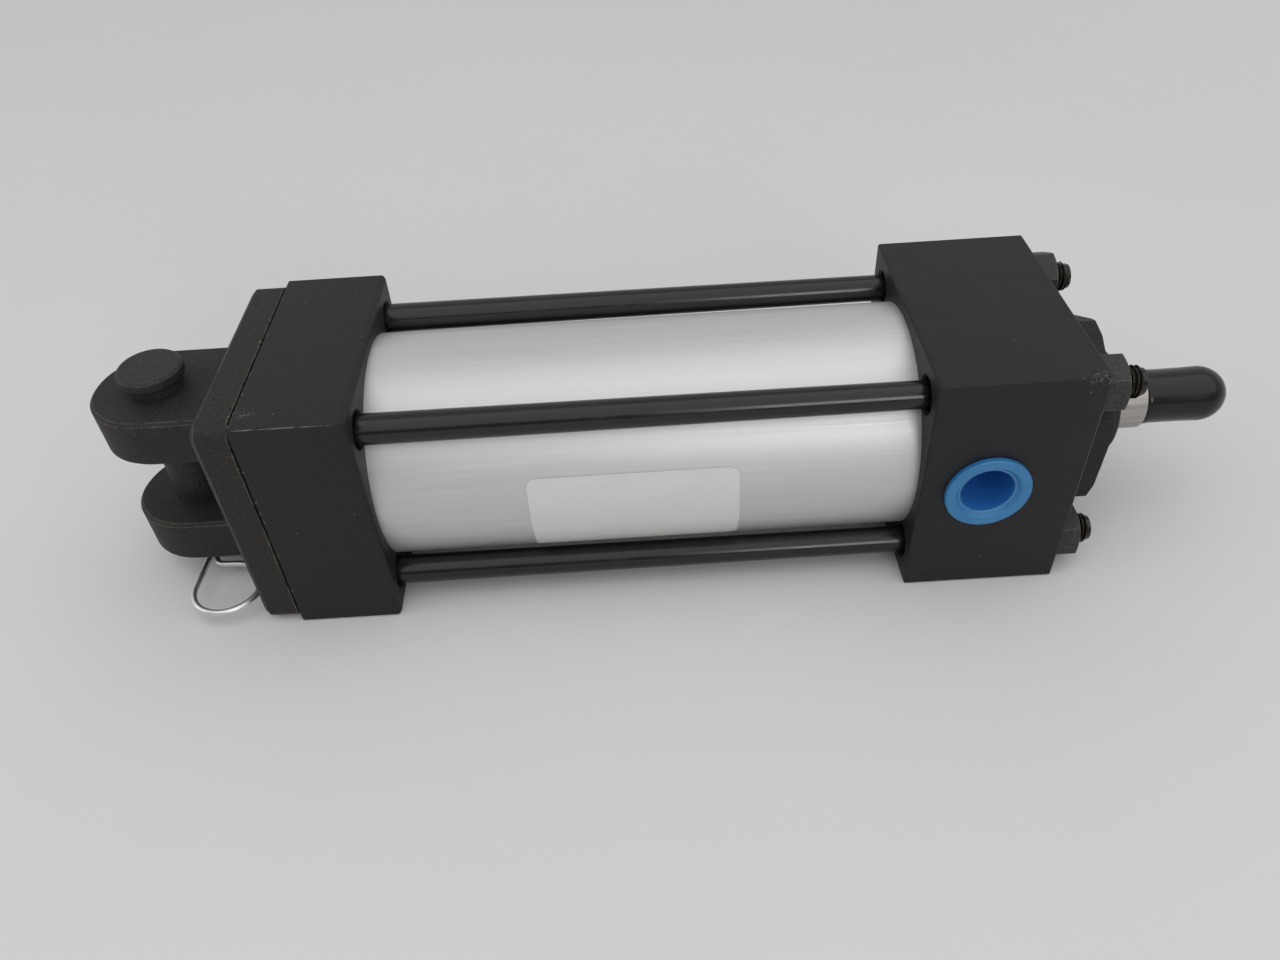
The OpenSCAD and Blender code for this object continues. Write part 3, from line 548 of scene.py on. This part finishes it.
def helix_tree():
    """Geometry nodes: one helical thread ridge along +X, on an axis off to the side and up."""
    tree = bpy.data.node_groups.new("helical_ridge", "GeometryNodeTree")
    tree.interface.new_socket("Geometry", in_out="OUTPUT", socket_type="NodeSocketGeometry")
    for label in ("Start", "Across", "Up", "Radius", "Root", "Pitch", "Length"):
        tree.interface.new_socket(label, in_out="INPUT", socket_type="NodeSocketFloat")
    tree.interface.new_socket("Material", in_out="INPUT", socket_type="NodeSocketMaterial")
    given = tree.nodes.new("NodeGroupInput").outputs
    out = tree.nodes.new("NodeGroupOutput").inputs
    fade_rate, flank_share = 0.22, 0.47
    depth = math_node(tree, "SUBTRACT", given["Radius"], given["Root"])
    turns = math_node(tree, "DIVIDE", given["Length"], given["Pitch"])
    spiral = add(tree, "GeometryNodeCurveSpiral",
                 {"Resolution": 40, "Rotations": turns, "Start Radius": given["Root"],
                  "End Radius": given["Root"], "Height": given["Length"]})
    upright = add(tree, "GeometryNodeSetCurveNormal", {"Curve": spiral.outputs[0]}, mode="Z_UP")
    along = add(tree, "GeometryNodeSplineParameter").outputs["Length"]
    whole = add(tree, "GeometryNodeSplineLength").outputs["Length"]
    left = math_node(tree, "DIVIDE", math_node(tree, "SUBTRACT", whole, along), given["Radius"])
    fade = math_node(tree, "MULTIPLY", left, fade_rate, clamp=True)
    sized = add(tree, "GeometryNodeSetCurveRadius", {"Curve": upright.outputs[0], "Radius": fade})
    tooth = add(tree, "GeometryNodeCurvePrimitiveCircle", {"Resolution": 4, "Radius": 1.0}, mode="RADIUS")
    half_pitch = math_node(tree, "MULTIPLY", given["Pitch"], flank_share)
    shaped = add(tree, "GeometryNodeTransform",
                 {"Geometry": tooth.outputs[0], "Scale": combined(tree, depth, half_pitch, 1.0)})
    ridge = add(tree, "GeometryNodeCurveToMesh",
                {"Curve": sized.outputs[0], "Profile Curve": shaped.outputs[0],
                 "Scale": fade, "Fill Caps": True})
    place = combined(tree, given["Start"], given["Across"], given["Up"])
    laid = add(tree, "GeometryNodeTransform",
               {"Geometry": ridge.outputs[0], "Translation": place,
                "Rotation": (0.0, math.pi / 2, 0.0)})
    solid = add(tree, "GeometryNodeRealizeInstances", {"Geometry": laid.outputs[0]})
    coated = add(tree, "GeometryNodeSetMaterial",
                 {"Geometry": solid.outputs[0], "Material": given["Material"]})
    tree.links.new(coated.outputs[0], out["Geometry"])
    return tree


def thread_ridge(name, material, **values):
    """Runs the thread nodes once and gives the finished mesh."""
    holder = bpy.data.objects.new(name + "_maker", bpy.data.meshes.new(name + "_maker"))
    bpy.context.scene.collection.objects.link(holder)
    nodes = holder.modifiers.new("thread", "NODES")
    nodes.node_group = THREAD_NODES
    named = {item.name: item.identifier
             for item in THREAD_NODES.interface.items_tree if item.in_out == "INPUT"}
    for label, value in values.items():
        nodes[named[label]] = value
    nodes[named["Material"]] = material
    ready = holder.evaluated_get(bpy.context.evaluated_depsgraph_get())
    mesh = bpy.data.meshes.new_from_object(ready)
    bpy.data.objects.remove(holder)
    return mesh


def threads(name, material, body, slot, ends, **shape):
    """Thread ridges for every (start, end, across, up) as one piece."""
    work = bmesh.new()
    for start, end, across, up in ends:
        work.from_mesh(thread_ridge(name, material, Start=start, Length=end - start,
                                    Across=across, Up=up, **shape))
    mesh = bpy.data.meshes.new(name)
    work.to_mesh(mesh)
    work.free()
    smooth_by_angle(mesh, DRAWN_CREASE)
    put(name, mesh, material, body)


def cut_down(mesh, from_x, root, at=0.0):
    """Draws a copy's threaded end in to the thread's root, so that the ridge stands on it."""
    for vert in mesh.vertices:
        if vert.co.x < from_x:
            continue
        axis = Vector((0, math.copysign(at, vert.co.y), math.copysign(at, vert.co.z)))
        off = Vector((0, vert.co.y, vert.co.z)) - axis
        if off.length > root:
            vert.co = Vector((vert.co.x, 0, 0)) + axis + off.normalized() * root


def tie_rods():
    """Four rods, cut down to the thread's root at the nuts, with a thread on each stud."""
    mesh = merged_copy("tie_rods")
    cut_down(mesh, HEAD_LOW.x, STUD_ROOT, TIE_AT)
    smooth_by_angle(mesh, CAD_CREASE)
    put("tie_rod_set", mesh, ROD_BLACK, "cylinder", ["tie_rods"])
    hidden_turns, tip_bevel = 2.5, 0.55 * MM
    start = NUT_FACE_X - hidden_turns * STUD_PITCH
    ends = []
    for across in (-TIE_AT, TIE_AT):
        for up in (-TIE_AT, TIE_AT):
            tip = max(v.co.x for v in mesh.vertices if v.co.y * across > 0 and v.co.z * up > 0)
            ends.append((start, tip - tip_bevel, across, up))
    threads("tie_rod_threads", ROD_BLACK, "cylinder", "black_oxide_steel", ends,
            Radius=STUD_CREST, Root=STUD_ROOT, Pitch=STUD_PITCH)


def ground_rod():
    """The piston rod, cut down to the thread's root past its shoulder, with its thread."""
    cut_from, thread_from, tip_bevel = 0.2 * MM, 2.1 * MM, 1.9 * MM
    mesh = merged_copy("piston_rod")
    cut_down(mesh, ROD_SHOULDER + cut_from, ROD_ROOT)
    smooth_by_angle(mesh, CAD_CREASE)
    put("ground_rod", mesh, ROD_STEEL, "rod", ["piston_rod"])
    ends = [(ROD_SHOULDER + thread_from, ROD_TIP_X - tip_bevel, 0.0, 0.0)]
    threads("rod_end_thread", ROD_STEEL, "rod", "bright_rod_steel", ends,
            Radius=ROD_CREST, Root=ROD_ROOT, Pitch=ROD_PITCH)


def label_inset(turned, length):
    """How far a rounded corner draws the label's end in, at a place round the tube."""
    near = min(turned, length - turned)
    if near >= LABEL_CORNER:
        return 0.0
    return LABEL_CORNER - math.sqrt(max(LABEL_CORNER ** 2 - (LABEL_CORNER - near) ** 2, 0))


def blank_label():
    """A plain white label wrapped on the tube, thin, with round corners."""
    outer, inner = TUBE_RADIUS + LABEL_THICKNESS, TUBE_RADIUS - LABEL_SINK
    length = (LABEL_TO_TURN - LABEL_FROM_TURN) * TUBE_RADIUS
    steps = 96
    work = bmesh.new()
    rows = []
    for i in range(steps + 1):
        turned = length * (1 - math.cos(math.pi * i / steps)) / 2
        inset = label_inset(turned, length)
        low_x, high_x = LABEL_FROM_X + inset, LABEL_TO_X - inset
        turn = LABEL_FROM_TURN + turned / TUBE_RADIUS
        rows.append([work.verts.new((x, r * math.cos(turn), r * math.sin(turn)))
                     for x, r in ((low_x, inner), (low_x, outer), (high_x, outer), (high_x, inner))])
    for first, second in zip(rows, rows[1:]):
        for a, b in ((0, 1), (1, 2), (2, 3), (3, 0)):
            work.faces.new((first[a], first[b], second[b], second[a]))
    work.faces.new(rows[0])
    work.faces.new(rows[-1])
    bmesh.ops.recalc_face_normals(work, faces=work.faces)
    mesh = bpy.data.meshes.new("blank_label")
    work.to_mesh(mesh)
    work.free()
    smooth_by_angle(mesh, LABEL_CREASE)
    put("blank_label", mesh, LABEL_WHITE, "cylinder")


def thread_cover():
    """Dipped cover: a soft lip at its mouth, a faint waist and a round end."""
    radius, wall, soft, inset = COVER_HIGH.z, 1.5 * MM, 0.4 * MM, 0.02 * MM
    bore = radius - wall
    mouth, tip = COVER_LOW.x, COVER_HIGH.x
    dome = tip - radius
    # Millimetres along from the mouth or the dome, and in from the full radius.
    lip = ((0.2, 0.4), (0.6, 0.08), (1.4, 0.02), (2.8, 0.14), (6, 0.2))
    shoulder = ((-4, 0.16), (-1, 0.04))
    outside = [(mouth + a * MM, radius - thin * MM) for a, thin in lip]
    outside += [(dome + a * MM, radius - thin * MM) for a, thin in shoulder]
    outside += arc((dome, 0), radius - inset, 90, 0, 16)
    inside = arc((dome, 0), bore, 0, 90, 12)
    inside += [(mouth + soft, bore), (mouth, bore + soft), (mouth, radius - 2 * soft)]
    mesh = revolve("thread_cover_piece", outside + inside, (0, 0, 0), (1, 0, 0))
    put("thread_cover_piece", mesh, COVER_VINYL, "thread_cover", ["rod_thread_cover"])


def port_plug(name, node, body, side):
    """Push-in plug: a soft flat rim, a flared mouth with a fine inner lip, and a deep hollow."""
    low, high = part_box(node)
    inner, outer = sorted((abs(low.y), abs(high.y)))
    top, floor = outer - BLOCK_HALF, inner - BLOCK_HALF
    rim, skirt, mouth, hollow = high.z, 7.4 * MM, 7.65 * MM, 6.45 * MM
    soft, edge, lip = 0.4 * MM, 0.2 * MM, 0.13 * MM
    shelf, shelf_at, lip_at, lip_foot = 0.36 * MM, 0.3 * MM, 0.32 * MM, 0.1 * MM
    draft, draft_to = 0.02 * MM, -2.5 * MM
    bottom = floor + 0.95 * MM
    section = [(floor, 0.0), (floor, skirt - soft)]
    section += arc((floor + soft, skirt - soft), soft, 180, 90, 5)[1:]
    section += [(0, skirt), (0, rim - edge)]
    section += arc((edge, rim - edge), edge, 180, 90, 4)[1:]
    section += arc((top - soft, rim - soft), soft, 90, 0, 6)
    section += arc((top - soft, mouth + soft), soft, 0, -60, 6)
    section += [(shelf_at, hollow + shelf)]
    section += arc((lip_at, hollow + lip), lip, 60, -80, 8)
    section += [(lip_foot, hollow), (draft_to, hollow - draft)]
    section += arc((bottom + soft, hollow - soft), soft, 90, 180, 5)
    section += [(bottom, 0.0)]
    mesh = revolve(name, section, ((low.x + high.x) / 2, side * BLOCK_HALF, 0), (0, side, 0))
    put(name, mesh, PLUG_BLUE, body, [node])


THREAD_NODES = helix_tree()

finished_copy("head_block", "rod_end_head", ANODISED_BLACK, "cylinder")
finished_copy("cap_block", "rear_cap", ANODISED_BLACK, "cylinder")
finished_copy("barrel", "barrel_tube", TUBE_SILVER, "cylinder")
blank_label()
tie_rods()
finished_copy("tie_rod_nut_set", "tie_rod_nuts", NUT_BLACK, "cylinder")
finished_copy("clevis_flange", "clevis_mount", FLANGE_BLACK, "cylinder")
finished_copy("clevis_pin_piece", "clevis_pin", PIN_BLACK, "pin")
finished_copy("spring_clip", "pin_clip", CLIP_ZINC, "clip")
finished_copy("piston_body", "piston", PISTON_ALLOY, "rod")
finished_copy("piston_lip_seals", "piston_seals", SEAL_RUBBER, "piston_pack")
finished_copy("piston_wear_band", "wear_band", BAND_PLASTIC, "piston_pack")
ground_rod()
finished_copy("piston_lock_nut", "piston_nut", NUT_STEEL, "rod")
finished_copy("piston_ring", "piston_o_ring", SEAL_RUBBER, "rod")
finished_copy("gland", "rod_gland", GLAND_BLACK, "cylinder")
finished_copy("bushing", "rod_bushing", BRONZE, "cylinder")
finished_copy("rod_lip_seal", "rod_seal", SEAL_RUBBER, "cylinder")
finished_copy("wiper", "rod_wiper", SEAL_RUBBER, "cylinder")
finished_copy("gland_ring", "gland_o_ring", SEAL_RUBBER, "cylinder")
finished_copy("head_tube_ring", "head_tube_seal", SEAL_RUBBER, "cylinder")
finished_copy("cap_tube_ring", "cap_tube_seal", SEAL_RUBBER, "cylinder")
port_plug("head_plug_piece", "head_port_plug", "head_plug", -1)
port_plug("cap_plug_piece", "cap_port_plug", "cap_plug", 1)
thread_cover()


# ---------------------------------------------------------------- room, light and camera

CAMERA_AT = (0.118155, -0.205361, 0.165747)
CAMERA_LOOK = (-0.002119, 0.744561, -0.667551)
CAMERA_ROLL = -3.664
CAMERA_LENS = 28.314
FLOOR_RADIUS = 2.4
FLOOR_PALE = (0.69, 0.685, 0.68)
FRONT_LEVEL, BACK_LEVEL = 0.22, 0.62
LIGHT_AIM = (0.12, 0, 0)


def floor_paint():
    """Plain painted surface with a faint cloudiness."""
    material, tree, shader = new_material("pale_floor", Roughness=0.85, Specular_IOR_Level=0.15)
    grain = use_group(tree, GRAIN, Grain_Size=700, Cloud_Size=4)
    darker = tuple(0.97 * c for c in FLOOR_PALE)
    tone = mix_colour(tree, remap(tree, grain["Clouds"], 0.3, 0.7), darker, FLOOR_PALE)
    tree.links.new(tone, shader["Base Color"])
    return material


def build_floor():
    """A wide round pale floor."""
    mesh = bpy.data.meshes.new("floor")
    ring = [(x, y, FLOOR_Z) for x, y in arc((0, 0), FLOOR_RADIUS, 0, 360, 180)[:-1]]
    mesh.from_pydata(ring, [], [range(len(ring))])
    mesh.materials.append(floor_paint())
    floor = bpy.data.objects.new("floor", mesh)
    bpy.context.scene.collection.objects.link(floor)


def area_light(name, at, size, power):
    """A soft white panel that faces the middle of the object."""
    data = bpy.data.lights.new(name, "AREA")
    data.shape = "RECTANGLE"
    data.size, data.size_y = size
    data.energy = power
    lamp = bpy.data.objects.new(name, data)
    lamp.location = at
    lamp.rotation_mode = "QUATERNION"
    lamp.rotation_quaternion = (Vector(LIGHT_AIM) - Vector(at)).to_track_quat("-Z", "Y")
    bpy.context.scene.collection.objects.link(lamp)


def build_world():
    """Pale room air: brighter behind than in front. The background itself is seen as white."""
    world = bpy.data.worlds.new("room_air")
    world.use_nodes = True
    tree = world.node_tree
    toward = add(tree, "ShaderNodeTexCoord").outputs["Generated"]
    depth = add(tree, "ShaderNodeSeparateXYZ", {"Vector": toward}).outputs["Y"]
    level = remap(tree, depth, -1.0, 0.3, FRONT_LEVEL, BACK_LEVEL)
    seen = add(tree, "ShaderNodeLightPath").outputs["Is Camera Ray"]
    sky = tree.nodes["Background"]
    sky.inputs["Color"].default_value = (0.93, 0.935, 0.945, 1)
    tree.links.new(math_node(tree, "MAXIMUM", level, seen), sky.inputs["Strength"])
    bpy.context.scene.world = world


def build_camera():
    """A hand-held view from the front, a little above."""
    data = bpy.data.cameras.new("camera")
    data.lens = CAMERA_LENS
    data.sensor_width = 36
    data.clip_start = 0.005
    camera = bpy.data.objects.new("camera", data)
    camera.location = CAMERA_AT
    camera.rotation_mode = "QUATERNION"
    camera.rotation_quaternion = (Vector(CAMERA_LOOK).to_track_quat("-Z", "Y")
                                  @ Quaternion((0, 0, 1), math.radians(CAMERA_ROLL)))
    bpy.context.scene.collection.objects.link(camera)
    bpy.context.scene.camera = camera


build_floor()
area_light("ceiling_light", (0.4, -0.6, 1.5), (3.4, 2.6), 21)
area_light("right_key", (0.55, -1.5, 0.6), (0.5, 0.5), 4)
area_light("left_fill", (-1.5, -0.2, 0.7), (0.9, 0.9), 3.5)
build_world()
build_camera()
bpy.context.scene.view_settings.view_transform = "Standard"
